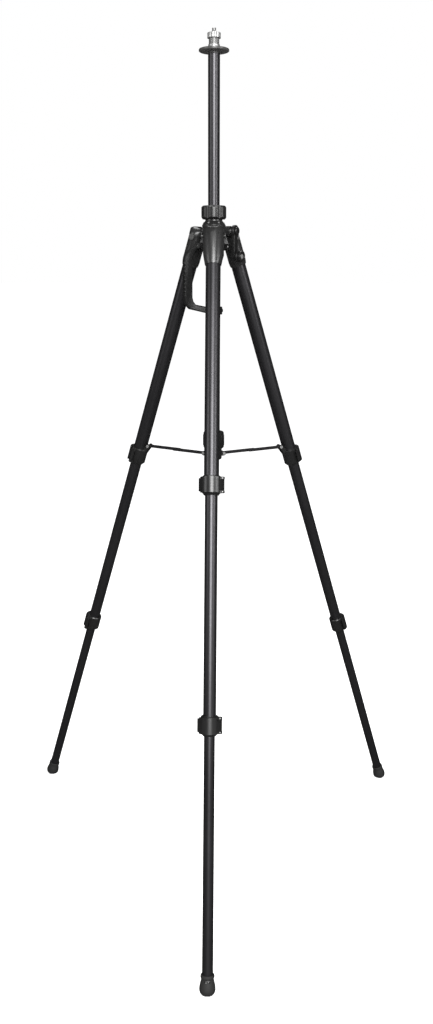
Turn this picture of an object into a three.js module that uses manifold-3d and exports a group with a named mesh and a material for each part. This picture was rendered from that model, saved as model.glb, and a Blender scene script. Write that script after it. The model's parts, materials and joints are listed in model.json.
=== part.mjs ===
// Elevator tripod for a laser level: a crank-raised centre column on three telescopic legs, held
// apart by a spreader. Millimetres, +Z up. The origin is on the floor, at the middle of the box
// around the three feet.
import * as THREE from 'three';
import { mergeVertices } from 'three/addons/utils/BufferGeometryUtils.js';
import Module from 'manifold-3d';

const wasm = await Module();
wasm.setup();

// ---------- driving dimensions ----------
const GAP = 0.3; // between pieces that touch or slide
const ROUND = 24; // sides of a round tube
const ROUND_SMALL = 16; // sides of a small round piece

const AXIS_Y = 98.62; // the column stands this far behind the middle of the feet
const LEG_TILT = THREE.MathUtils.degToRad(18.92); // of an open leg, from vertical
const PIVOT_R = 30.1; // leg pivot, from the column's axis
const PIVOT_Z = 1068; // leg pivot, above the floor
const LEGS = [['front', -90], ['right', 30], ['left', 150]]; // azimuth in degrees, from above

const COLUMN_R = 9;
const COLUMN_WALL = 1.5;
const COLUMN_BOTTOM = 1000;
const COLUMN_TOP = 1329;
const HUB_TOP = 1093.7;
const CORE_R = 16;
const GUIDE_R = 10.2; // guide tube under the hub
const GUIDE_TOP = 1045.7;
const GUIDE_BOTTOM = 728;

const UPPER_R = 11.5; // the three leg sections
const MIDDLE_R = 9.7;
const LOWER_R = 8.2;
const TUBE_WALL = 1.2;
const UPPER_TOP = 14; // stations are distances down the leg from its pivot
const UPPER_BOTTOM = 388;
const MIDDLE_TOP = 344;
const MIDDLE_BOTTOM = 746;
const LOWER_TOP = 702;
const LOWER_BOTTOM = 1108;
const UPPER_CLAMP = 384.3;
const LOWER_CLAMP = 742.5;
const UPPER_CLAMP_R = 14.4;
const LOWER_CLAMP_R = 13.4;
const FLOOR_AT = PIVOT_Z / Math.cos(LEG_TILT);

const TONGUE_HALF = 8; // hub tongue between a bracket's cheeks
const TONGUE_R = 11;
const KNUCKLE_R = 16;
const BRACKET_HALF = 17.2; // a bracket's section is an ellipse, wide along its hinge
const BRACKET_DEPTH = 13.4;
const BRACKET_BOTTOM = 45.5;

const BRACE_Z = 721.2; // the struts lie level when the legs are open
const BRACE_INNER = 17; // strut pins, from the column's axis
const BRACE_OUTER = 131;
const STRUT_REACH = 62; // each half of a strut
const STRUT_HALF = 2.5;
const STRUT_LAYER = 2.6; // the two halves pass each other side by side
const LUG_IN = 3.1;
const LUG_OUT = 5.6;
const LUG_R = 3.8;

const CRANK_AZIMUTH = -30;
const CRANK_Z = 1076;
const CRANK_ARM = 38;
const CRANK_FACE = 35.4; // inner face of the arm, from the column's axis
const TENSION_Z = 1052;

const HANDLE_AZIMUTH = 210;
const HANDLE_HALF = 5;
const HEAD_Z = 1332; // underside of the head plate
const PIN_R = 3.17; // quarter-inch screw

// ---------- materials ----------
function finish(colour, roughness, metalness) {
  return new THREE.MeshStandardMaterial({ color: colour, roughness, metalness });
}
const anodised = () => finish('#29282a', 0.35, 0.8);
const moulded = () => finish('#1f1e1f', 0.45, 0);
const hubPlastic = () => finish('#2c2b2c', 0.4, 0);
const rubber = () => finish('#161616', 0.85, 0);
const steel = () => finish('#c0c0bc', 0.22, 1);
const platePaint = () => finish('#1d1c1c', 0.45, 0.1);

// ---------- solids ----------
function solid(geometry) {
  const bare = geometry.clone();
  bare.deleteAttribute('normal');
  bare.deleteAttribute('uv');
  const merged = mergeVertices(bare, 1e-4);
  return new wasm.Manifold(new wasm.Mesh({
    numProp: 3,
    vertProperties: new Float32Array(merged.attributes.position.array),
    triVerts: new Uint32Array(merged.index.array),
  }));
}

function toGeometry(manifold) {
  const mesh = manifold.getMesh();
  const geometry = new THREE.BufferGeometry();
  const corners = new Float32Array(mesh.vertProperties);
  geometry.setAttribute('position', new THREE.BufferAttribute(corners, 3));
  geometry.setIndex(new THREE.BufferAttribute(new Uint32Array(mesh.triVerts), 1));
  return geometry;
}

function join(first, ...others) {
  return others.reduce((sum, item) => sum.add(item), first);
}

function cut(first, ...others) {
  return others.reduce((rest, item) => rest.subtract(item), first);
}

function common(first, ...others) {
  return others.reduce((rest, item) => rest.intersect(item), first);
}

// a box between two opposite corners
function box(low, high) {
  const size = high.map((value, i) => value - low[i]);
  const geometry = new THREE.BoxGeometry(...size);
  geometry.translate(...high.map((value, i) => (value + low[i]) / 2));
  return solid(geometry);
}

// a round bar along Z
function bar(radius, low, high, x = 0, y = 0, sides = ROUND) {
  const geometry = new THREE.CylinderGeometry(radius, radius, high - low, sides);
  geometry.rotateX(Math.PI / 2);
  geometry.translate(x, y, (low + high) / 2);
  return solid(geometry);
}

// an elliptical bar along Z
function ellipseBar(alongX, alongY, low, high) {
  return bar(1, low, high).scale([alongX, alongY, 1]);
}

// a round bar along Y
function crossBar(radius, low, high, x = 0, z = 0, sides = ROUND_SMALL) {
  const geometry = new THREE.CylinderGeometry(radius, radius, high - low, sides);
  geometry.translate(x, (low + high) / 2, z);
  return solid(geometry);
}

// a round bar along X
function sideBar(radius, low, high, z, sides = ROUND_SMALL) {
  const geometry = new THREE.CylinderGeometry(radius, radius, high - low, sides);
  geometry.rotateZ(-Math.PI / 2);
  geometry.translate((low + high) / 2, 0, z);
  return solid(geometry);
}

// a turned shape about Z; points are [radius, z] from the bottom of the axis to the top
function turned(points, sides = ROUND) {
  const profile = points.map(([r, z]) => new THREE.Vector2(r, z));
  const geometry = new THREE.LatheGeometry(profile, sides);
  geometry.rotateX(Math.PI / 2);
  return solid(geometry);
}

// a turned shape about X; points are [radius, x]
function turnedAlongX(points, z, sides = ROUND_SMALL) {
  return turned(points, sides).rotate([0, 90, 0]).translate([0, 0, z]);
}

function pipe(radius, wall, low, high) {
  return cut(bar(radius, low, high), bar(radius - wall, low - 1, high + 1));
}

function extrude(shape, depth, curveSegments) {
  return new THREE.ExtrudeGeometry(shape, { depth, bevelEnabled: false, curveSegments });
}

// an outline in X and Y, tall along Z from low to high
function plateXY(shape, low, high, curveSegments = 6) {
  const geometry = extrude(shape, high - low, curveSegments);
  geometry.translate(0, 0, low);
  return solid(geometry);
}

// an outline in X and Z, thick along Y from low to high
function plateXZ(shape, low, high, curveSegments = 6) {
  const geometry = extrude(shape, high - low, curveSegments);
  geometry.rotateX(Math.PI / 2);
  geometry.translate(0, high, 0);
  return solid(geometry);
}

// an outline in Y and Z, thick along X from low to high
function plateYZ(shape, low, high, curveSegments = 6) {
  const geometry = extrude(shape, high - low, curveSegments);
  geometry.rotateX(Math.PI / 2);
  geometry.rotateZ(Math.PI / 2);
  geometry.translate(low, 0, 0);
  return solid(geometry);
}

function shapeOf(points) {
  return new THREE.Shape(points.map(([x, y]) => new THREE.Vector2(x, y)));
}

// a bar with round ends between two points
function linkShape(from, to, radius) {
  const shape = new THREE.Shape();
  const angle = Math.atan2(to[1] - from[1], to[0] - from[0]);
  shape.absarc(to[0], to[1], radius, angle - Math.PI / 2, angle + Math.PI / 2, false);
  shape.absarc(from[0], from[1], radius, angle + Math.PI / 2, angle + 1.5 * Math.PI, false);
  return shape;
}

// a rounded outline with lobes parted by hollows
function lobedShape(radius, depth, lobes, steps = 6) {
  const points = [];
  for (let i = 0; i < lobes * steps; i += 1) {
    const angle = (2 * Math.PI * i) / (lobes * steps);
    const hollow = Math.max(0, Math.cos(lobes * angle)) ** 2;
    const r = radius - depth * hollow;
    points.push([r * Math.cos(angle), r * Math.sin(angle)]);
  }
  return shapeOf(points);
}

function turnTo(azimuth, manifold) {
  return manifold.rotate([0, 0, azimuth]);
}

// ---------- scene ----------
const tripod = new THREE.Group();
tripod.position.y = AXIS_Y;

function place(parent, name, manifold, material) {
  const mesh = new THREE.Mesh(toGeometry(manifold), material);
  mesh.name = name;
  parent.add(mesh);
}

// ---------- hub ----------
function hubTongue() {
  return join(
    crossBar(TONGUE_R, -TONGUE_HALF, TONGUE_HALF, PIVOT_R, PIVOT_Z, ROUND),
    box([8, -TONGUE_HALF, PIVOT_Z - TONGUE_R], [PIVOT_R, TONGUE_HALF, PIVOT_Z + TONGUE_R]),
  );
}

function canopyHub() {
  const core = turned([
    [0, 1030], [13, 1030], [CORE_R, 1040], [CORE_R, 1081], [18.4, 1082.5], [18.4, 1085.5],
    [14.5, 1090.5], [13.4, 1091.5], [13.4, HUB_TOP], [0, HUB_TOP],
  ]);
  const tongues = LEGS.map(([, azimuth]) => turnTo(azimuth, hubTongue()));
  const pinHoles = LEGS.map(([, azimuth]) => (
    turnTo(azimuth, crossBar(3 + GAP, -20, 20, PIVOT_R, PIVOT_Z))
  ));
  const crankCase = turnTo(CRANK_AZIMUTH, join(
    sideBar(7.5, 10, 31, CRANK_Z),
    sideBar(5, 10, 20.6, TENSION_Z),
  ));
  const crankBores = turnTo(CRANK_AZIMUTH, join(
    sideBar(3.5 + GAP, 13.2, 35, CRANK_Z),
    sideBar(2.4 + GAP, 10.7, 25, TENSION_Z),
  ));
  const handleBoss = turnTo(HANDLE_AZIMUTH, sideBar(4.5, 10, 25.7, 1054.6));
  const body = join(core, ...tongues, crankCase, handleBoss);
  const columnBore = bar(COLUMN_R + GAP, 1020, 1110);
  const guideBore = bar(GUIDE_R + GAP, 1020, GUIDE_TOP + GAP);
  return cut(body, columnBore, guideBore, crankBores, ...pinHoles);
}

function lockCollar() {
  const low = HUB_TOP + GAP;
  const high = 1114;
  const lobed = plateXY(lobedShape(20, 1.8, 6, 8), low, high);
  const rounded = turned([
    [0, low], [17.5, low], [20, low + 3], [20, high - 2.5], [17.5, high], [0, high],
  ]);
  return cut(common(lobed, rounded), bar(COLUMN_R + GAP, low - 1, high + 1));
}

const root = new THREE.Group();
tripod.add(root);
place(root, 'canopy_hub', canopyHub(), hubPlastic());
place(root, 'lock_collar', lockCollar(), moulded());
place(
  root,
  'guide_tube',
  pipe(GUIDE_R, GUIDE_R - COLUMN_R - GAP, GUIDE_BOTTOM, GUIDE_TOP),
  anodised(),
);

// ---------- carry handle ----------
function carryHandle() {
  const outline = shapeOf([
    [26, 1051.5], [31, 1049.5], [37, 1042], [40, 1034], [40, 976], [38.5, 970], [34.5, 965],
    [11, 960.5], [11, 951], [15, 951.5], [44, 958], [49, 963], [52.2, 972], [53.8, 981],
    [52.3, 987], [53.8, 993], [52.3, 999], [53.8, 1005], [52.3, 1011], [53.8, 1017],
    [52.3, 1023], [53.8, 1030], [52, 1038], [47, 1045.5], [41, 1049.5], [36, 1052.5], [31, 1057],
    [26, 1058],
  ]);
  const grip = new THREE.ExtrudeGeometry(outline, {
    depth: 2 * HANDLE_HALF - 3, bevelSize: 1.5, bevelOffset: -1.5, bevelThickness: 1.5, bevelSegments: 1,
  });
  grip.rotateX(Math.PI / 2);
  grip.translate(0, HANDLE_HALF - 1.5, 0);
  const ring = join(bar(13.6, 949, 961), sideBar(3, -15.5, -12, 955));
  const pinHole = crossBar(1.8 + GAP, -20, 20, 30.5, 1053.4);
  return cut(join(solid(grip), ring), bar(GUIDE_R + GAP, 940, 970), pinHole);
}
const handle = new THREE.Group();
handle.rotation.z = THREE.MathUtils.degToRad(HANDLE_AZIMUTH);
root.add(handle);
place(handle, 'carry_handle', carryHandle(), moulded());
place(
  handle,
  'handle_pin',
  join(
    crossBar(1.8, -HANDLE_HALF - 1, HANDLE_HALF + 1, 30.5, 1053.4),
    crossBar(3, HANDLE_HALF + 0.1, HANDLE_HALF + 1.6, 30.5, 1053.4),
    crossBar(3, -HANDLE_HALF - 1.6, -HANDLE_HALF - 0.1, 30.5, 1053.4),
  ),
  steel(),
);

// ---------- centre column and head ----------
const head = new THREE.Group();
tripod.add(head);
const plugR = COLUMN_R - COLUMN_WALL - GAP;
place(head, 'center_column', pipe(COLUMN_R, COLUMN_WALL, COLUMN_BOTTOM, COLUMN_TOP), anodised());
place(head, 'column_plug', turned([
  [0, COLUMN_BOTTOM - 3], [plugR, COLUMN_BOTTOM - 3], [COLUMN_R, COLUMN_BOTTOM - 2],
  [COLUMN_R, COLUMN_BOTTOM - GAP], [plugR, COLUMN_BOTTOM - GAP], [plugR, COLUMN_BOTTOM + 8],
  [0, COLUMN_BOTTOM + 8],
]), moulded());
place(head, 'head_plate', cut(turned([
  [0, COLUMN_TOP - 12], [plugR, COLUMN_TOP - 12], [plugR, COLUMN_TOP + GAP], [8.2, COLUMN_TOP + GAP],
  [8.2, HEAD_Z], [22, HEAD_Z], [22.8, HEAD_Z + 0.8], [22.8, HEAD_Z + 2.7], [22, HEAD_Z + 3.5],
  [10.7, HEAD_Z + 3.5], [10.7, HEAD_Z + 4.1], [0, HEAD_Z + 4.1],
], 40), bar(4 + GAP, HEAD_Z - 6, HEAD_Z + 10)), platePaint());
place(head, 'threaded_stud', cut(turned([
  [0, HEAD_Z - 5], [4, HEAD_Z - 5], [4, HEAD_Z + 4.4], [8.75, HEAD_Z + 4.4], [8.75, HEAD_Z + 9.6],
  [7.94, HEAD_Z + 10], [7.94, HEAD_Z + 17.7], [0, HEAD_Z + 17.7],
]), bar(2.2 + GAP, HEAD_Z - 6, HEAD_Z + 20)), steel());
const capLow = HEAD_Z + 18;
const capHigh = HEAD_Z + 25.5;
place(head, 'adapter_cap', cut(
  plateXY(lobedShape(10.2, 0.8, 12, 4), capLow, capHigh),
  bar(PIN_R + GAP, capLow - 1, capHigh + 1),
), steel());
place(head, 'mount_screw', turned([
  [0, HEAD_Z - 4], [2.2, HEAD_Z - 4], [2.2, capLow], [PIN_R, capLow + 0.3], [PIN_R, capHigh + 6.2],
  [2.5, capHigh + 7], [0, capHigh + 7],
], ROUND_SMALL), steel());

// ---------- crank ----------
const crank = new THREE.Group();
crank.rotation.z = THREE.MathUtils.degToRad(CRANK_AZIMUTH);
tripod.add(crank);
const armOuter = CRANK_FACE + 5;

place(crank, 'crank_shaft', join(
  sideBar(3.5, 13.6, CRANK_FACE - GAP, CRANK_Z),
  sideBar(2.5, 30, armOuter + 1.6, CRANK_Z),
), steel());

function crankArm() {
  const web = plateYZ(linkShape([0, CRANK_Z], [0, CRANK_Z - CRANK_ARM], 5.5), CRANK_FACE, armOuter);
  const boss = sideBar(8.8, CRANK_FACE, armOuter, CRANK_Z, ROUND);
  const shaftHole = sideBar(2.5 + GAP, CRANK_FACE - 1, armOuter + 1, CRANK_Z);
  const pinHole = sideBar(1.8 + GAP, CRANK_FACE - 1, armOuter + 1, CRANK_Z - CRANK_ARM);
  return cut(join(web, boss), shaftHole, pinHole);
}
place(crank, 'crank_arm', crankArm(), moulded());
place(crank, 'crank_cap', cut(
  turnedAlongX([
    [0, armOuter + GAP], [6, armOuter + GAP], [6, armOuter + 2.4], [4.8, armOuter + 3.4],
    [0, armOuter + 3.4],
  ], CRANK_Z),
  sideBar(2.5 + GAP, armOuter, armOuter + 1.9, CRANK_Z),
), moulded());

const knobZ = CRANK_Z - CRANK_ARM;
const knobLow = armOuter + GAP;
place(crank, 'crank_knob', cut(
  turnedAlongX([
    [0, knobLow], [6.2, knobLow], [6.2, knobLow + 1.6], [7.6, knobLow + 2.6], [7.9, knobLow + 9],
    [7.2, knobLow + 11.4], [0, knobLow + 11.4],
  ], knobZ, ROUND),
  sideBar(1.8 + GAP, knobLow - 1, knobLow + 20, knobZ),
  sideBar(4.6, knobLow + 8.8, knobLow + 20, knobZ),
), moulded());
place(crank, 'crank_knob_pin', join(
  sideBar(3.2, CRANK_FACE - 1.6, CRANK_FACE - GAP, knobZ),
  sideBar(1.8, CRANK_FACE - 1, knobLow + 9.4, knobZ),
  sideBar(3.8, knobLow + 9.1, knobLow + 10.6, knobZ),
), steel());
place(crank, 'tension_knob', join(
  sideBar(2.4, 11.2, 22, TENSION_Z),
  turnedAlongX([[0, 21], [4.6, 21], [5, 22], [5, 27.5], [4.2, 28.8], [0, 28.8]], TENSION_Z),
), moulded());

// ---------- spreader ----------
function lugPair(from, to) {
  const outline = linkShape(from, to, LUG_R);
  return join(plateXZ(outline, LUG_IN, LUG_OUT), plateXZ(outline, -LUG_OUT, -LUG_IN));
}

function spreaderHub() {
  const body = turned([
    [0, 713], [12.8, 713], [13.5, 714.5], [13.5, 730], [17, 733], [17, 757], [16, 759], [0, 759],
  ]);
  const lugs = LEGS.map(([, azimuth]) => (
    turnTo(azimuth, lugPair([10, BRACE_Z], [BRACE_INNER, BRACE_Z]))
  ));
  const rooms = LEGS.map(([, azimuth]) => turnTo(azimuth, join(
    crossBar(STRUT_HALF + 0.8, -LUG_IN, LUG_IN, BRACE_INNER, BRACE_Z),
    crossBar(1.5 + GAP, -9, 9, BRACE_INNER, BRACE_Z, 12),
  )));
  return cut(join(body, ...lugs), bar(GUIDE_R + 0.4, 700, 770), ...rooms);
}
const spreader = new THREE.Group();
tripod.add(spreader);
place(spreader, 'spreader_hub', spreaderHub(), moulded());

// one half of a strut, between a pin and the point it reaches
function strutHalf(from, to, low, high) {
  const outline = linkShape([from, BRACE_Z], [to, BRACE_Z], STRUT_HALF);
  const plate = plateXZ(outline, low, high, 4);
  return cut(plate, crossBar(1.5 + GAP, -9, 9, from, BRACE_Z, 12));
}

function strutPin(x, z) {
  return join(
    crossBar(1.5, -LUG_OUT - 0.5, LUG_OUT + 0.5, x, z, 12),
    crossBar(2.6, LUG_OUT + 0.1, LUG_OUT + 1, x, z, 12),
    crossBar(2.6, -LUG_OUT - 1, -LUG_OUT - 0.1, x, z, 12),
  );
}

// ---------- legs, drawn hanging straight down from their pivots ----------
function legBracket() {
  const side = new THREE.Shape();
  side.moveTo(-13, -BRACKET_BOTTOM);
  side.lineTo(20, -BRACKET_BOTTOM);
  side.lineTo(20, 0);
  side.absarc(0, 0, KNUCKLE_R, 0, 2.52, false);
  const skin = turned([
    [0, -BRACKET_BOTTOM], [12.7, -BRACKET_BOTTOM], [13.2, 2 - BRACKET_BOTTOM], [15.4, -31],
    [17, -18], [18, -8], [18, 20], [0, 20],
  ]);
  const body = common(plateXZ(side, -20, 20, 12), skin, join(
    ellipseBar(BRACKET_DEPTH - 0.4, BRACKET_HALF - 0.6, -50, 2.2),
    ellipseBar(BRACKET_DEPTH, BRACKET_HALF, 2, 20),
  ));
  const room = TONGUE_HALF + 0.4;
  const slot = join(
    crossBar(TONGUE_R + 0.5, -room, room, 0, 0, ROUND),
    box([-20, -room, -TONGUE_R - 0.5], [2, room, 20]),
  );
  const socket = bar(UPPER_R + GAP, -50, -UPPER_TOP + GAP);
  return cut(body, slot, socket, crossBar(3 + GAP, -20, 20));
}

function pivotPin() {
  return join(
    crossBar(3, -BRACKET_HALF - 1, BRACKET_HALF + 1),
    crossBar(5.2, BRACKET_HALF + 0.1, BRACKET_HALF + 1.8),
    crossBar(5.2, -BRACKET_HALF - 1.8, -BRACKET_HALF - 0.1),
  );
}

// where a lever turns, in its clamp's frame
function leverPin(ringR) {
  return [2, ringR + 2.2];
}

function clampBody(station, outerTube, outerEnd, innerTube, ringR) {
  const top = 14 - station;
  const bottom = -14 - station;
  const ring = turned([
    [0, bottom - 1.8], [innerTube + 1.6, bottom - 1.8], [ringR - 1.4, bottom + 0.6], [ringR, bottom + 2],
    [ringR, top - 1.5], [ringR - 1.2, top], [0, top],
  ]);
  const [x, y] = leverPin(ringR);
  const ear = shapeOf([
    [-7, 6], [9, 6], [x + 3.6, y - 0.6], [x + 2.8, y + 2.4], [x, y + 3.6], [x - 2.8, y + 2.4],
    [x - 4.6, y - 1.6],
  ]);
  const ears = join(
    plateXY(ear, bottom + 1.5, -station - 8.4),
    plateXY(ear, 8.4 - station, top - 1.5),
  );
  const pin = bar(1.5, bottom + 2.5, top - 2.5, x, y, 12);
  const recess = bar(3.8, -station - 8.4, 8.4 - station, x, y, 12);
  return cut(
    join(cut(join(ring, ears), recess), pin),
    bar(outerTube + GAP, -outerEnd - GAP, top + 5),
    bar(innerTube + GAP, bottom - 9, top + 5),
  );
}

function clampLever(station, ringR) {
  const inner = ringR + 0.4;
  const outer = inner + 2.6;
  const start = THREE.MathUtils.degToRad(50);
  const end = THREE.MathUtils.degToRad(-78);
  const shell = new THREE.Shape();
  shell.absarc(0, 0, outer, end, start, false);
  shell.absarc(0, 0, inner, start, end, true);
  const [x, y] = leverPin(ringR);
  const web = shapeOf([
    [inner * Math.cos(start), inner * Math.sin(start)],
    [outer * Math.cos(start) + 0.6, outer * Math.sin(start) - 1],
    [x + 4.4, y + 1.6], [x, y + 3.2], [x - 0.5, y],
  ]);
  const tab = shapeOf([
    [inner * Math.cos(end), inner * Math.sin(end)], [0.2, -outer - 2], [4.4, -outer - 1],
    [outer * Math.cos(end) + 3, outer * Math.sin(end) + 1],
  ]);
  const cover = cut(
    join(
      plateXY(shell, -station - 12, 12 - station, 7),
      plateXY(web, -station - 8, 8 - station),
      plateXY(tab, -station - 10, 10 - station),
    ),
    bar(inner, -station - 30, 30 - station),
  );
  const knuckle = bar(3.2, -station - 8, 8 - station, x, y, 12);
  return cut(join(cover, knuckle), bar(1.5 + GAP, -station - 30, 30 - station, x, y, 12));
}

// where a point of the leg's plane lies in the frame of the hanging leg
function inLegFrame(r, z) {
  const out = r - PIVOT_R;
  const up = z - PIVOT_Z;
  return [
    out * Math.cos(LEG_TILT) + up * Math.sin(LEG_TILT),
    up * Math.cos(LEG_TILT) - out * Math.sin(LEG_TILT),
  ];
}

const bracePin = inLegFrame(BRACE_OUTER, BRACE_Z);

function upperClamp() {
  const [x, z] = bracePin;
  const arm = shapeOf([
    [x - 3.4, z - 1.6], [x - 1.6, z - 3.4], [-10, z - 26], [-10, z - 6], [x + 3.6, z + 1.2],
    [x + 2.2, z + 3.1], [x, z + 3.8], [x - 2.2, z + 3.1], [x - 3.6, z + 1.2],
  ]);
  const lug = join(plateXZ(arm, LUG_IN, LUG_OUT), plateXZ(arm, -LUG_OUT, -LUG_IN));
  const body = clampBody(UPPER_CLAMP, UPPER_R, UPPER_BOTTOM, MIDDLE_R, UPPER_CLAMP_R);
  return cut(
    join(body, lug),
    bar(UPPER_R + GAP, -UPPER_BOTTOM - GAP, -UPPER_CLAMP + 80),
    bar(MIDDLE_R + GAP, -UPPER_CLAMP - 80, -UPPER_CLAMP),
    crossBar(1.5 + GAP, -9, 9, x, z, 12),
  );
}

function rubberFoot() {
  const bottom = -FLOOR_AT;
  const body = turned([
    [0, bottom - 3.6], [5, bottom - 3.2], [8.8, bottom - 1.4], [11.2, bottom + 2],
    [12, bottom + 6.5], [11.4, bottom + 12], [10, bottom + 17.5], [9.3, bottom + 20],
    [9.3, bottom + 21.6], [10.4, bottom + 22.4], [10.4, bottom + 25.6], [9.6, bottom + 27],
    [0, bottom + 27],
  ]);
  const ground = box([-40, -40, -40], [40, 40, 0])
    .rotate([0, THREE.MathUtils.radToDeg(LEG_TILT), 0])
    .translate([0, 0, bottom]);
  return cut(body, ground, bar(LOWER_R + GAP, -LOWER_BOTTOM - GAP, bottom + 40));
}

LEGS.forEach(([name, azimuth]) => {
  const plane = new THREE.Group();
  plane.rotation.z = THREE.MathUtils.degToRad(azimuth);
  tripod.add(plane);
  const leg = new THREE.Group();
  leg.position.set(PIVOT_R, 0, PIVOT_Z);
  leg.rotation.y = -LEG_TILT;
  plane.add(leg);
  const pipeBetween = (radius, low, high) => pipe(radius, TUBE_WALL, -high, -low);

  place(leg, `leg_bracket_${name}`, legBracket(), hubPlastic());
  place(leg, `leg_pivot_pin_${name}`, pivotPin(), steel());
  place(leg, `upper_leg_${name}`, pipeBetween(UPPER_R, UPPER_TOP, UPPER_BOTTOM), anodised());
  place(leg, `upper_clamp_${name}`, upperClamp(), moulded());
  place(leg, `upper_lever_${name}`, clampLever(UPPER_CLAMP, UPPER_CLAMP_R), moulded());
  place(leg, `middle_leg_${name}`, pipeBetween(MIDDLE_R, MIDDLE_TOP, MIDDLE_BOTTOM), anodised());
  place(
    leg,
    `lower_clamp_${name}`,
    clampBody(LOWER_CLAMP, MIDDLE_R, MIDDLE_BOTTOM, LOWER_R, LOWER_CLAMP_R),
    moulded(),
  );
  place(leg, `lower_lever_${name}`, clampLever(LOWER_CLAMP, LOWER_CLAMP_R), moulded());
  place(leg, `lower_leg_${name}`, pipeBetween(LOWER_R, LOWER_TOP, LOWER_BOTTOM), anodised());
  place(leg, `foot_${name}`, rubberFoot(), rubber());
  place(leg, `brace_pin_outer_${name}`, strutPin(...bracePin), steel());
  place(plane, `brace_pin_inner_${name}`, strutPin(BRACE_INNER, BRACE_Z), steel());
  place(
    plane,
    `strut_inner_${name}`,
    strutHalf(BRACE_INNER, BRACE_INNER + STRUT_REACH, 0.2, 0.2 + STRUT_LAYER),
    anodised(),
  );
  place(
    plane,
    `strut_outer_${name}`,
    strutHalf(BRACE_OUTER, BRACE_OUTER - STRUT_REACH, -0.2 - STRUT_LAYER, -0.2),
    anodised(),
  );
});

export default tripod;
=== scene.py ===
"""Looks of a laser-level tripod: anodised tubes, moulded clamps and hub, bright head fittings."""
import json
import math

import bmesh
import bpy
from mathutils import Matrix, Vector

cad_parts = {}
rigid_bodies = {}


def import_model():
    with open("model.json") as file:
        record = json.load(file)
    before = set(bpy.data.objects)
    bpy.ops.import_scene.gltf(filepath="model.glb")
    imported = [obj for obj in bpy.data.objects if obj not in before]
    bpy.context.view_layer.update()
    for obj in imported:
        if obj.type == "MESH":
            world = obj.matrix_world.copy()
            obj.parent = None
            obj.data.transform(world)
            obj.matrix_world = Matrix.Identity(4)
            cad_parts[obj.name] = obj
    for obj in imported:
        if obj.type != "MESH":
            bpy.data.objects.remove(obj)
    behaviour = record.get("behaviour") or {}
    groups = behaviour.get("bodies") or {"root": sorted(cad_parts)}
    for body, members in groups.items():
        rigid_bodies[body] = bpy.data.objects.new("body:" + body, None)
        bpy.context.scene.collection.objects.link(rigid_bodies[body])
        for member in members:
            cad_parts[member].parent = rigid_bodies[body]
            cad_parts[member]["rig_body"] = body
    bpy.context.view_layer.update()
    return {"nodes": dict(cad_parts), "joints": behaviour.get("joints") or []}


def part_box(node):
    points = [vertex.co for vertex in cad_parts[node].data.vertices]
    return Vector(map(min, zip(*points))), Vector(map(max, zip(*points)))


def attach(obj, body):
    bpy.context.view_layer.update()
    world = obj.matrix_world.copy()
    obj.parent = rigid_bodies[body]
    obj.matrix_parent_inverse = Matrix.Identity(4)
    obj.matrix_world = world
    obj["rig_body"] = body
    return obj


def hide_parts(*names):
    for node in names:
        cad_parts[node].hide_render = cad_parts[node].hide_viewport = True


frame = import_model()
MM = 0.001
SIDES = 72
LEGS = ("front", "right", "left")
CLAMPS = (  # clamp, the body it sits on, its station along the leg, its lever ears' distance, in mm
    ("upper", "leg_", 384.3, 16.6),
    ("lower", "middle_", 742.5, 15.6),
)
EAR_RISE = 10.4
joints = {j["name"]: j for j in frame["joints"]}
AXIS = Vector(joints["collar_turn"]["pos_m"])
AXIS.z = 0.0


# ---------- shader helpers ----------
class Val:
    """A number socket of one material, for use in Python expressions."""

    def __init__(self, mat, socket):
        self.mat, self.socket = mat, socket

    def _math(self, operation, a, b):
        return self.mat.add("ShaderNodeMath", {"operation": operation}, {0: a, 1: b})

    def __add__(self, other):
        return self._math("ADD", self, other)

    def __mul__(self, other):
        return self._math("MULTIPLY", self, other)

    __radd__ = __add__
    __rmul__ = __mul__


class Finish:
    """One procedural material."""

    def __init__(self, name, colour, roughness, metallic=0.0):
        self.material = bpy.data.materials.new(name)
        self.material.use_nodes = True
        self.tree = self.material.node_tree
        self.shader = self.tree.nodes["Principled BSDF"]
        self.shader.inputs["Base Color"].default_value = (*colour, 1)
        self.shader.inputs["Roughness"].default_value = roughness
        self.shader.inputs["Metallic"].default_value = metallic
        self.shader.inputs["Specular IOR Level"].default_value = 0.5
        coords = self.tree.nodes.new("ShaderNodeTexCoord")
        self.place = coords.outputs["Object"]

    def link(self, value, socket):
        if isinstance(value, Val):
            value = value.socket
        if isinstance(value, bpy.types.NodeSocket):
            self.tree.links.new(value, socket)
        elif value is not None:
            socket.default_value = value

    def add(self, kind, settings, inputs, output=0):
        node = self.tree.nodes.new(kind)
        for key, value in settings.items():
            setattr(node, key, value)
        for key, value in inputs.items():
            self.link(value, node.inputs[key])
        return Val(self, node.outputs[output])

    def noise(self, scale, stretch=(1, 1, 1), detail=3.0, roughness=0.5):
        spot = self.add("ShaderNodeMapping", {}, {"Vector": self.place, "Scale": stretch})
        return self.add("ShaderNodeTexNoise", {}, {
            "Vector": spot, "Scale": scale, "Detail": detail, "Roughness": roughness,
        })

    def tint(self, mask, low, high):
        mixed = self.add("ShaderNodeMix", {"data_type": "RGBA"}, {
            0: mask, 6: (*low, 1), 7: (*high, 1),
        }, 2)
        self.link(mixed, self.shader.inputs["Base Color"])

    def gloss(self, value):
        self.link(value, self.shader.inputs["Roughness"])

    def bump(self, height, depth, strength=0.5):
        relief = self.add("ShaderNodeBump", {}, {
            "Height": height, "Distance": depth, "Strength": strength,
        })
        self.link(relief, self.shader.inputs["Normal"])


def spread(mask, low, high):
    """A 0 to 1 mask as a number between low and high."""
    return mask * (high - low) + low


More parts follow.
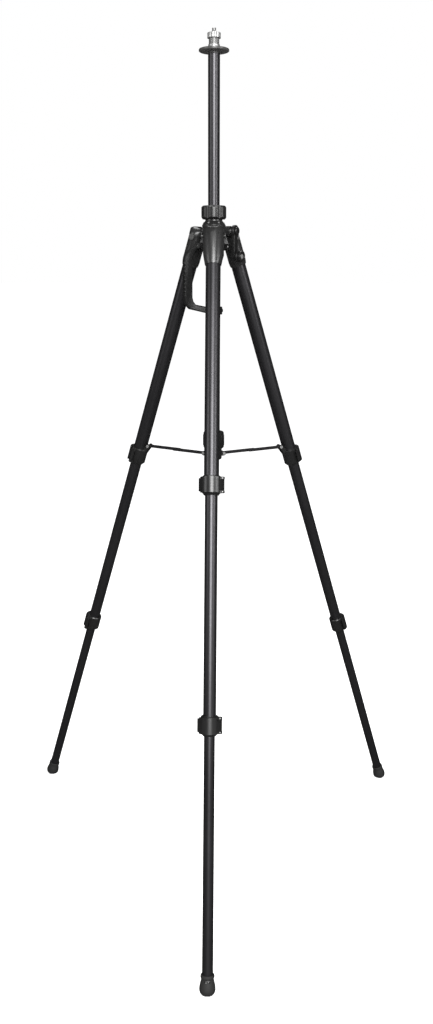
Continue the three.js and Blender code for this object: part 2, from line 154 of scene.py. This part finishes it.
def anodised_finish():
    made = Finish("anodised_black", (0.05, 0.049, 0.052), 0.34, 0.9)
    cloud = made.noise(9, detail=4)
    grain = made.noise(320, (1, 1, 0.02), 2)
    made.tint(cloud, (0.036, 0.0352, 0.0375), (0.054, 0.0528, 0.056))
    made.gloss(spread(grain, 0.33, 0.39) + spread(cloud, -0.02, 0.03))
    made.bump(grain, 0.000006, 0.25)
    return made.material


def moulded_finish(name, low, high, rough, depth=0.00006):
    made = Finish(name, low, rough)
    wear = made.noise(24, detail=5)
    grain = made.noise(1500, detail=2, roughness=0.6)
    made.tint(wear, low, high)
    made.gloss(spread(wear, rough - 0.06, rough + 0.08) + spread(grain, -0.03, 0.03))
    made.bump(grain, depth, 0.35)
    return made.material


def rubber_finish():
    made = Finish("foot_rubber", (0.012, 0.012, 0.012), 0.75)
    dust = made.noise(45, detail=6, roughness=0.6)
    grain = made.noise(900, detail=3)
    made.tint(dust, (0.003, 0.003, 0.003), (0.009, 0.0088, 0.0086))
    made.gloss(spread(dust, 0.62, 0.85))
    made.bump(grain, 0.0001, 0.4)
    return made.material


def bright_finish(name, shade, rough):
    made = Finish(name, (shade, shade, shade * 0.98), rough, 0.7)
    lathe_marks = made.noise(500, (0.05, 0.05, 3), 2)
    smear = made.noise(60, detail=3)
    made.tint(smear, (shade * 0.85,) * 3, (shade, shade, shade * 0.98))
    made.gloss(spread(lathe_marks, rough - 0.06, rough + 0.1))
    made.bump(lathe_marks, 0.00002, 0.4)
    return made.material


ANODISED = anodised_finish()
HUB_PLASTIC = moulded_finish("hub_plastic", (0.008, 0.008, 0.008), (0.014, 0.0138, 0.0138), 0.3)
CLAMP_PLASTIC = moulded_finish("clamp_plastic", (0.004, 0.004, 0.004), (0.0075, 0.0073, 0.0073), 0.34)
GRIP_PLASTIC = moulded_finish("grip_plastic", (0.004, 0.004, 0.004), (0.008, 0.008, 0.008), 0.36, 0.0001)
PLATE_BLACK = moulded_finish("plate_enamel", (0.026, 0.0255, 0.025), (0.038, 0.037, 0.036), 0.34)
RUBBER = rubber_finish()
BRIGHT = bright_finish("turned_steel", 0.3, 0.36)
DARK_STEEL = bright_finish("blackened_pin", 0.05, 0.34)


# ---------- mesh helpers ----------
def to_object(name, work, material, smooth_angle=32):
    mesh = bpy.data.meshes.new(name)
    work.to_mesh(mesh)
    work.free()
    mesh.materials.append(material)
    mesh.shade_smooth()
    mesh.set_sharp_from_angle(angle=math.radians(smooth_angle))
    piece = bpy.data.objects.new(name, mesh)
    bpy.context.scene.collection.objects.link(piece)
    return piece


def lathe(profile, place, sides=SIDES, hollow=False):
    """A turned solid: (radius, height) pairs in mm from the bottom up; hollow closes on itself."""
    work = bmesh.new()
    rings = []
    for r, z in profile:
        if r < 1e-6:
            rings.append([work.verts.new(place @ Vector((0, 0, z * MM)))])
            continue
        rings.append([
            work.verts.new(place @ Vector((
                r * MM * math.cos(2 * math.pi * i / sides),
                r * MM * math.sin(2 * math.pi * i / sides), z * MM,
            ))) for i in range(sides)
        ])
    pairs = list(zip(rings, rings[1:]))
    if hollow:
        pairs.append((rings[-1], rings[0]))
    for low, high in pairs:
        for i in range(sides):
            j = (i + 1) % sides
            if len(low) == 1:
                work.faces.new((low[0], high[i], high[j]))
            elif len(high) == 1:
                work.faces.new((low[i], low[j], high[0]))
            else:
                work.faces.new((low[i], low[j], high[j], high[i]))
    bmesh.ops.recalc_face_normals(work, faces=work.faces)
    return work


def tube(radius, wall, low, high, place, edge=0.35):
    inner = radius - wall
    return lathe([
        (inner, low + edge), (inner + edge, low), (radius - edge, low), (radius, low + edge),
        (radius, high - edge), (radius - edge, high), (inner + edge, high), (inner, high - edge),
    ], place, hollow=True)


def settle(piece, body, *nodes):
    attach(piece, body)
    if nodes:
        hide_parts(*nodes)
    return piece


def softened(node, material, width=0.5, segments=2, envelope=None):
    """A CAD piece with its edges rounded, in its finish, kept inside an envelope (a bmesh)."""
    source = frame["nodes"][node]
    work = bmesh.new()
    work.from_mesh(source.data)
    bmesh.ops.remove_doubles(work, verts=work.verts, dist=2e-6)
    bmesh.ops.dissolve_limit(
        work, angle_limit=math.radians(0.6), verts=work.verts, edges=work.edges,
    )
    piece = to_object(node + "_look", work, material)
    if envelope is not None:
        shell = to_object(node + "_envelope", envelope, material)
        inside = piece.modifiers.new("envelope", "BOOLEAN")
        inside.operation = "INTERSECT"
        inside.solver = "EXACT"
        inside.object = shell
    rounding = piece.modifiers.new("edges", "BEVEL")
    rounding.width = width * MM
    rounding.segments = segments
    rounding.limit_method = "ANGLE"
    rounding.angle_limit = math.radians(34)
    rounding.use_clamp_overlap = True
    rounding.harden_normals = True
    graph = bpy.context.evaluated_depsgraph_get()
    baked = bpy.data.meshes.new_from_object(piece.evaluated_get(graph))
    piece.modifiers.clear()
    piece.data = baked
    if envelope is not None:
        bpy.data.objects.remove(shell)
    return settle(piece, body_name(node), node)


def body_name(node):
    return frame["nodes"][node]["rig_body"]


# ---------- places ----------
def leg_place(name):
    """Leg frame: X out of the leg, Y along its hinge, Z up along the tube from the pivot."""
    hinge = joints["fold_" + name]
    up = -Vector(joints["middle_slide_" + name]["axis"]).normalized()
    side = Vector(hinge["axis"]).normalized()
    out = side.cross(up)
    turn = Matrix((out, side, up)).transposed().to_4x4()
    return Matrix.Translation(Vector(hinge["pos_m"])) @ turn


def column_place():
    return Matrix.Translation(AXIS)


def azimuth_place(degrees):
    return column_place() @ Matrix.Rotation(math.radians(degrees), 4, "Z")


# ---------- repeated details ----------
def ring_tree(name, material):
    """Copies of an object's mesh set round a circle, each turned to face out."""
    tree = bpy.data.node_groups.new(name, "GeometryNodeTree")
    face = tree.interface
    face.new_socket("Part", in_out="INPUT", socket_type="NodeSocketGeometry")
    count = face.new_socket("Count", in_out="INPUT", socket_type="NodeSocketInt")
    radius = face.new_socket("Radius", in_out="INPUT", socket_type="NodeSocketFloat")
    face.new_socket("Ring", in_out="OUTPUT", socket_type="NodeSocketGeometry")
    new = tree.nodes.new
    given, out = new("NodeGroupInput"), new("NodeGroupOutput")
    circle = new("GeometryNodeMeshCircle")
    circle.fill_type = "NONE"
    place = new("GeometryNodeInstanceOnPoints")
    where = new("GeometryNodeInputPosition")
    face_out = new("FunctionNodeAlignRotationToVector")
    face_out.axis = "X"
    real = new("GeometryNodeRealizeInstances")
    paint = new("GeometryNodeSetMaterial")
    paint.inputs["Material"].default_value = material
    links = tree.links.new
    links(given.outputs["Count"], circle.inputs["Vertices"])
    links(given.outputs["Radius"], circle.inputs["Radius"])
    links(circle.outputs["Mesh"], place.inputs["Points"])
    links(given.outputs["Part"], place.inputs["Instance"])
    links(where.outputs["Position"], face_out.inputs["Vector"])
    links(face_out.outputs["Rotation"], place.inputs["Rotation"])
    links(place.outputs["Instances"], real.inputs["Geometry"])
    links(real.outputs["Geometry"], paint.inputs["Geometry"])
    links(paint.outputs["Geometry"], out.inputs["Ring"])
    return tree, {"Count": count.identifier, "Radius": radius.identifier}


def ring_of(name, part, count, radius, place, material, body):
    """One mesh of count copies of part (a bmesh, its own X facing out) round a place's Z axis."""
    tree, sockets = ring_tree(name + "_ring", material)
    values = {sockets["Count"]: count, sockets["Radius"]: radius * MM}
    return repeated(name, part, tree, values, place, material, body)


def row_tree(name, material):
    """Copies of an object's mesh stepped up the Z axis."""
    tree = bpy.data.node_groups.new(name, "GeometryNodeTree")
    face = tree.interface
    face.new_socket("Part", in_out="INPUT", socket_type="NodeSocketGeometry")
    count = face.new_socket("Count", in_out="INPUT", socket_type="NodeSocketInt")
    step = face.new_socket("Step", in_out="INPUT", socket_type="NodeSocketVector")
    face.new_socket("Row", in_out="OUTPUT", socket_type="NodeSocketGeometry")
    new, links = tree.nodes.new, tree.links.new
    given, out = new("NodeGroupInput"), new("NodeGroupOutput")
    line = new("GeometryNodeMeshLine")
    copies = new("GeometryNodeInstanceOnPoints")
    real = new("GeometryNodeRealizeInstances")
    paint = new("GeometryNodeSetMaterial")
    paint.inputs["Material"].default_value = material
    links(given.outputs["Count"], line.inputs["Count"])
    links(given.outputs["Step"], line.inputs["Offset"])
    links(line.outputs["Mesh"], copies.inputs["Points"])
    links(given.outputs["Part"], copies.inputs["Instance"])
    links(copies.outputs["Instances"], real.inputs["Geometry"])
    links(real.outputs["Geometry"], paint.inputs["Geometry"])
    links(paint.outputs["Geometry"], out.inputs["Row"])
    return tree, {"Count": count.identifier, "Step": step.identifier}


def repeated(name, part, tree, values, place, material, body):
    """A part's mesh run through a repeating tree, as one plain mesh that rides a body."""
    single = to_object(name, part, material)
    modifier = single.modifiers.new("copies", "NODES")
    modifier.node_group = tree
    for socket, value in values.items():
        modifier[socket] = value
    graph = bpy.context.evaluated_depsgraph_get()
    mesh = bpy.data.meshes.new_from_object(single.evaluated_get(graph))
    single.modifiers.clear()
    single.data = mesh
    mesh.transform(place)
    return settle(single, body)


def row_of(name, part, count, step, place, material, body):
    tree, sockets = row_tree(name + "_row", material)
    values = {sockets["Count"]: count, sockets["Step"]: (0.0, 0.0, step * MM)}
    return repeated(name, part, tree, values, place, material, body)


def block(low, high, edge=0.2, segments=2):
    """A box in mm with rounded edges."""
    work = bmesh.new()
    bmesh.ops.create_cube(work, size=1)
    low, high = Vector(low) * MM, Vector(high) * MM
    for v in work.verts:
        v.co = Vector((low[i] + (v.co[i] + 0.5) * (high[i] - low[i]) for i in range(3)))
    bmesh.ops.bevel(
        work, geom=work.edges[:], offset=edge * MM, segments=segments, affect="EDGES",
        profile=0.5, clamp_overlap=True,
    )
    return work


def screw_head(radius, height, place):
    """A pan head with a dished centre."""
    return lathe([
        (0, 0), (radius, 0), (radius, height * 0.45), (radius * 0.86, height * 0.85),
        (radius * 0.5, height), (radius * 0.36, height), (radius * 0.3, height * 0.45),
        (0, height * 0.35),
    ], place, 32)


# ---------- tubes ----------
def make_tubes():
    for name in LEGS:
        place = leg_place(name)
        for node, body, radius, wall, top, bottom in (
            ("upper_leg_", "leg_", 11.5, 1.2, 14, 388),
            ("middle_leg_", "middle_", 9.7, 1.2, 344, 746),
            ("lower_leg_", "lower_", 8.2, 1.2, 702, 1108),
        ):
            work = tube(radius, wall, -bottom, -top, place)
            settle(to_object(node + name + "_look", work, ANODISED), body + name, node + name)
    place = column_place()
    work = tube(10.2, 0.9, 728, 1045.7, place)
    settle(to_object("guide_tube_look", work, ANODISED), "hub", "guide_tube")
    work = tube(9, 1.5, 1000, 1329, place)
    settle(to_object("center_column_look", work, ANODISED), "column", "center_column")


# ---------- head ----------
def make_head():
    place = column_place()
    plate = lathe([
        (0, 1320), (7, 1320), (7, 1329.3), (8.2, 1329.3), (8.2, 1332), (21.8, 1332),
        (22.6, 1332.5), (22.8, 1333.4), (22.8, 1334.6), (22.4, 1335.2), (21.6, 1335.5),
        (10.7, 1335.5), (10.5, 1336.1), (0, 1336.1),
    ], place)
    settle(to_object("head_plate_look", plate, PLATE_BLACK), "column", "head_plate")
    stud = [(0, 1336.2), (8.75, 1336.2), (8.75, 1341.2), (8.3, 1341.8), (7.2, 1342)]
    z = 1342.4
    while z < 1349.0:
        stud += [(7.2, z), (7.92, z + 0.45), (7.92, z + 0.6), (7.2, z + 1.05)]
        z += 1.3
    stud += [(7.2, 1349.5), (0, 1349.5)]
    settle(to_object("threaded_stud_look", lathe(stud, place), BRIGHT), "column", "threaded_stud")
    pin = [(0, 1357.2), (3.0, 1357.2)]
    z = 1358.0
    while z < 1363.0:
        pin += [(2.6, z), (3.15, z + 0.4), (3.15, z + 0.5), (2.6, z + 0.9)]
        z += 1.2
    pin += [(2.5, 1364.2), (2.1, 1364.5), (0, 1364.5)]
    settle(to_object("mount_screw_look", lathe(pin, place, 48), BRIGHT), "column", "mount_screw")
    softened("adapter_cap", BRIGHT, 0.6, 3)
    softened("column_plug", CLAMP_PLASTIC, 0.4)


# ---------- hub, crank, handle ----------
def make_knob():
    """The crank's turning knob: a rimmed barrel with a dished end and fine ribs."""
    spin = joints["knob_spin"]
    low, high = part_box("crank_knob")
    centre = (low + high) / 2
    turn = Vector(spin["axis"]).to_track_quat("Z", "Y").to_matrix().to_4x4()
    place = Matrix.Translation(centre) @ turn
    barrel = lathe([
        (2.2, -5.7), (6.6, -5.7), (6.8, -4.4), (7.9, -3.6), (8.5, -2.8), (8.5, -1.6), (7.8, -0.9),
        (7.8, 2.6), (8.5, 3.2), (8.6, 4.6), (8.2, 5.4), (7.4, 5.7), (6.2, 5.7), (5.6, 5.2),
        (5.2, 3.2), (2.2, 3.2),
    ], place, hollow=True)
    settle(to_object("crank_knob_look", barrel, CLAMP_PLASTIC), "knob", "crank_knob")
    rib = block((-0.3, -0.4, -1.7), (0.5, 0.4, 1.7), 0.2)
    place = place @ Matrix.Translation((0, 0, 0.85 * MM))
    ring_of("knob_ribs", rib, 24, 7.8, place, CLAMP_PLASTIC, "knob")


def make_hub():
    softened("canopy_hub", HUB_PLASTIC, 0.8, 3)
    softened("lock_collar", CLAMP_PLASTIC, 0.8, 3)
    softened("carry_handle", GRIP_PLASTIC, 0.6, 3)
    softened("handle_pin", DARK_STEEL, 0.5, 3)
    softened("crank_arm", CLAMP_PLASTIC, 0.9, 3)
    softened("crank_cap", CLAMP_PLASTIC, 0.4)
    make_knob()
    softened("crank_knob_pin", BRIGHT, 0.3)
    softened("crank_shaft", BRIGHT, 0.3)
    softened("tension_knob", CLAMP_PLASTIC, 0.4, 3)
    softened("spreader_hub", CLAMP_PLASTIC, 0.5)
    place = azimuth_place(-60) @ Matrix.Translation((0, 0, 1088.6 * MM))
    lean = Matrix.Rotation(math.radians(52), 4, "Y")
    ring_of("hub_screws", screw_head(1.6, 0.9, lean), 6, 15.8, place, BRIGHT, "hub")
    place = column_place() @ Matrix.Translation((0, 0, 745 * MM))
    rib = block((-0.3, -0.9, -9), (1.0, 0.9, 9), 0.4)
    ring_of("spreader_ribs", rib, 18, 16.8, place, CLAMP_PLASTIC, "spreader")
    place = azimuth_place(210) @ Matrix.Translation((53.0 * MM, 0, 979 * MM))
    ridge = block((-1.0, -4.2, -1.4), (1.0, 4.2, 1.4), 0.9, 4)
    row_of("handle_ridges", ridge, 9, 6.1, place, GRIP_PLASTIC, "hub")


# ---------- legs ----------
def rivets(name, spots, radius, place, material, body):
    """Small heads on a leg piece, facing out of the leg; spots are (x, y, station) in mm."""
    work = bmesh.new()
    for x, y, station in spots:
        spot = place @ Matrix.Translation((x * MM, y * MM, -station * MM))
        head = screw_head(radius, radius * 0.6, spot @ Matrix.Rotation(math.pi / 2, 4, "Y"))
        mesh = bpy.data.meshes.new("head")
        head.to_mesh(mesh)
        head.free()
        work.from_mesh(mesh)
        bpy.data.meshes.remove(mesh)
    return settle(to_object(name, work, material), body)


def foot_mesh(place):
    bottom = -1129.0
    work = lathe([
        (0, bottom - 3.6), (5, bottom - 3.2), (8.8, bottom - 1.4), (11.2, bottom + 2),
        (11.9, bottom + 4.5), (12, bottom + 6.5), (11.8, bottom + 9.5), (11.2, bottom + 13),
        (10.3, bottom + 16.5), (9.5, bottom + 19.4), (9.2, bottom + 20.2), (9.2, bottom + 21.4),
        (10, bottom + 22), (10.4, bottom + 22.8), (10.4, bottom + 25.2), (10, bottom + 26.4),
        (9.2, bottom + 27), (8.6, bottom + 27), (8.6, bottom + 21), (0, bottom + 21),
    ], place)
    cut = bmesh.ops.bisect_plane(
        work, geom=work.verts[:] + work.edges[:] + work.faces[:], dist=1e-7,
        plane_co=(0, 0, 0), plane_no=(0, 0, -1), clear_outer=True,
    )
    rim = [g for g in cut["geom_cut"] if isinstance(g, bmesh.types.BMEdge)]
    bmesh.ops.edgeloop_fill(work, edges=rim)
    bmesh.ops.recalc_face_normals(work, faces=work.faces)
    return work


def make_legs():
    for name in LEGS:
        place = leg_place(name)
        dome = lathe([
            (0, -60), (25, -60), (25, -8), (18.4, -4), (18, 2), (17, 7), (14.6, 11.4),
            (11, 14.4), (6, 16.2), (0, 16.8),
        ], place, 48)
        softened("leg_bracket_" + name, HUB_PLASTIC, 0.35, 2, dome)
        softened("leg_pivot_pin_" + name, DARK_STEEL, 0.6, 3)
        for level in ("upper", "lower"):
            softened(f"{level}_clamp_{name}", CLAMP_PLASTIC, 0.5)
            softened(f"{level}_lever_{name}", CLAMP_PLASTIC, 0.6, 3)
        for half in ("inner", "outer"):
            softened(f"strut_{half}_{name}", ANODISED, 0.3)
            softened(f"brace_pin_{half}_{name}", BRIGHT, 0.3)
        for level, body, station, ear in CLAMPS:
            spots = [(5.0, ear, station - EAR_RISE), (5.0, ear, station + EAR_RISE)]
            rivets(f"{level}_ear_rivets_{name}", spots, 1.1, place, BRIGHT, body + name)
        recess = block((7.4, -4.4, -1111.6), (10.0, 4.4, -1107.6), 0.8, 3)
        recess.transform(place)
        settle(to_object("foot_recess_" + name, recess, CLAMP_PLASTIC), "lower_" + name)
        spots = [(9.9, -1.8, 1110.4), (9.9, 1.6, 1109.8)]
        rivets("foot_screw_" + name, spots, 0.85, place, BRIGHT, "lower_" + name)
        foot = to_object("foot_" + name + "_look", foot_mesh(place), RUBBER, 28)
        settle(foot, "lower_" + name, "foot_" + name)


# ---------- room ----------
def dimmed_in_gloss(tree, direct, glossy, target):
    """One shader where a surface is seen directly, another where it is mirrored in gloss."""
    rays = tree.nodes.new("ShaderNodeLightPath")
    either = tree.nodes.new("ShaderNodeMixShader")
    tree.links.new(rays.outputs["Is Glossy Ray"], either.inputs[0])
    tree.links.new(direct.outputs[0], either.inputs[1])
    tree.links.new(glossy.outputs[0], either.inputs[2])
    tree.links.new(either.outputs[0], target.inputs["Surface"])


def make_floor():
    bpy.ops.mesh.primitive_plane_add(size=120, location=(0, 0, -0.5 * MM))
    floor = bpy.context.object
    floor.name = "floor"
    paint = bpy.data.materials.new("pale_floor")
    paint.use_nodes = True
    tree = paint.node_tree
    shader = tree.nodes["Principled BSDF"]
    shader.inputs["Base Color"].default_value = (0.95, 0.95, 0.95, 1)
    shader.inputs["Roughness"].default_value = 0.9
    shader.inputs["Specular IOR Level"].default_value = 0.0
    shader.inputs["Emission Color"].default_value = (1, 1, 1, 1)
    shader.inputs["Emission Strength"].default_value = 0.1
    mirrored = tree.nodes.new("ShaderNodeEmission")
    mirrored.inputs["Strength"].default_value = 0.06
    dimmed_in_gloss(tree, shader, mirrored, tree.nodes["Material Output"])
    floor.data.materials.append(paint)


def make_lights():
    world = bpy.data.worlds.new("studio")
    bpy.context.scene.world = world
    world.use_nodes = True
    tree = world.node_tree
    seen = tree.nodes["Background"]
    dim = tree.nodes.new("ShaderNodeBackground")
    for background, strength in ((seen, 1.0), (dim, 0.05)):
        background.inputs[0].default_value = (1, 1, 1, 1)
        background.inputs[1].default_value = strength
    dimmed_in_gloss(tree, seen, dim, tree.nodes["World Output"])
    for name, spot, aim, size, power in (
        ("key_softbox", (0.3, -2.9, 1.9), (0, 0, 0.75), 1.3, 150),
        ("left_softbox", (-2.4, -1.2, 1.6), (0, 0, 0.8), 0.9, 16),
        ("side_softbox", (2.3, -1.5, 1.6), (0, 0, 0.8), 0.9, 32),
        ("top_softbox", (0, 0.9, 3.2), (0, 0, 0.9), 1.4, 40),
    ):
        data = bpy.data.lights.new(name, "AREA")
        data.energy = power
        data.size = size
        lamp = bpy.data.objects.new(name, data)
        lamp.location = spot
        lamp.rotation_euler = (Vector(aim) - Vector(spot)).to_track_quat("-Z", "Y").to_euler()
        bpy.context.scene.collection.objects.link(lamp)


def make_camera():
    data = bpy.data.cameras.new("camera")
    data.sensor_fit = "VERTICAL"
    data.sensor_height = 36
    data.lens = 31.685
    data.shift_x = 0.0026
    data.shift_y = 0.0034
    data.clip_start = 0.01
    camera = bpy.data.objects.new("camera", data)
    camera.location = (AXIS.x + 0.0313, AXIS.y - 1.4799, 1.0211)
    camera.rotation_euler = (math.radians(90 - 15.37), math.radians(-0.06), math.radians(1.21))
    bpy.context.scene.collection.objects.link(camera)
    bpy.context.scene.camera = camera


make_camera()
make_floor()
make_lights()
make_tubes()
make_head()
make_hub()
make_legs()
bpy.context.scene.view_settings.view_transform = "Standard"
